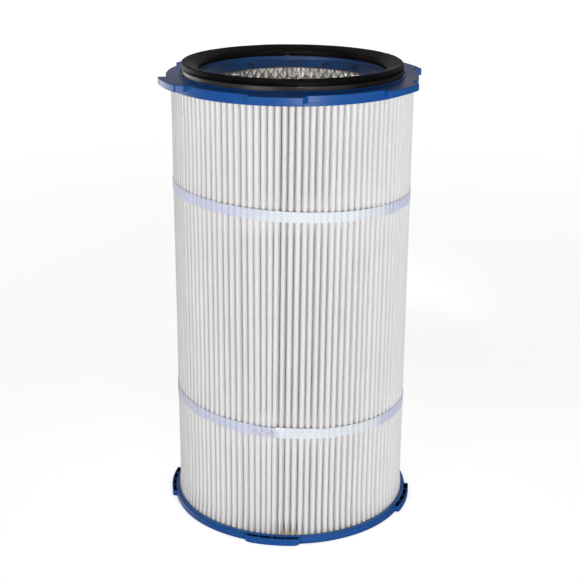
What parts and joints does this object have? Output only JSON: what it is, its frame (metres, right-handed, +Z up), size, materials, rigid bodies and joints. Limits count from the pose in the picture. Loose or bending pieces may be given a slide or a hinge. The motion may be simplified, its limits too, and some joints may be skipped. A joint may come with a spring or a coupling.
{
  "type": "pleated filter cartridge",
  "caption": "Upright dust collector filter cartridge: pleated media on a mesh liner between a twist-lock bottom cap and an open top cap with a sealing gasket.",
  "frame": {"origin": "centre of the resting plane under the bottom end cap, on the cartridge's axis", "axes": "+Z up along the cartridge's axis towards the gasket, -Y towards the side that the front lug faces"},
  "size_m": [0.354, 0.362, 0.6352],
  "materials": {
    "blue_plastic": "satin",
    "adhesive": "satin",
    "filter_media": "matte",
    "galvanised_steel": "satin",
    "strap_tape": "satin",
    "black_rubber": "matte"
  },
  "bodies": {
    "root": {"bottom_end_cap": "blue_plastic", "bottom_potting": "adhesive", "pleated_media": "filter_media", "media_seam_clip": "galvanised_steel", "inner_liner": "galvanised_steel", "lower_strap": "strap_tape", "upper_strap": "strap_tape", "top_potting": "adhesive", "top_end_cap": "blue_plastic", "gasket": "black_rubber"}
  },
  "joints": []
}
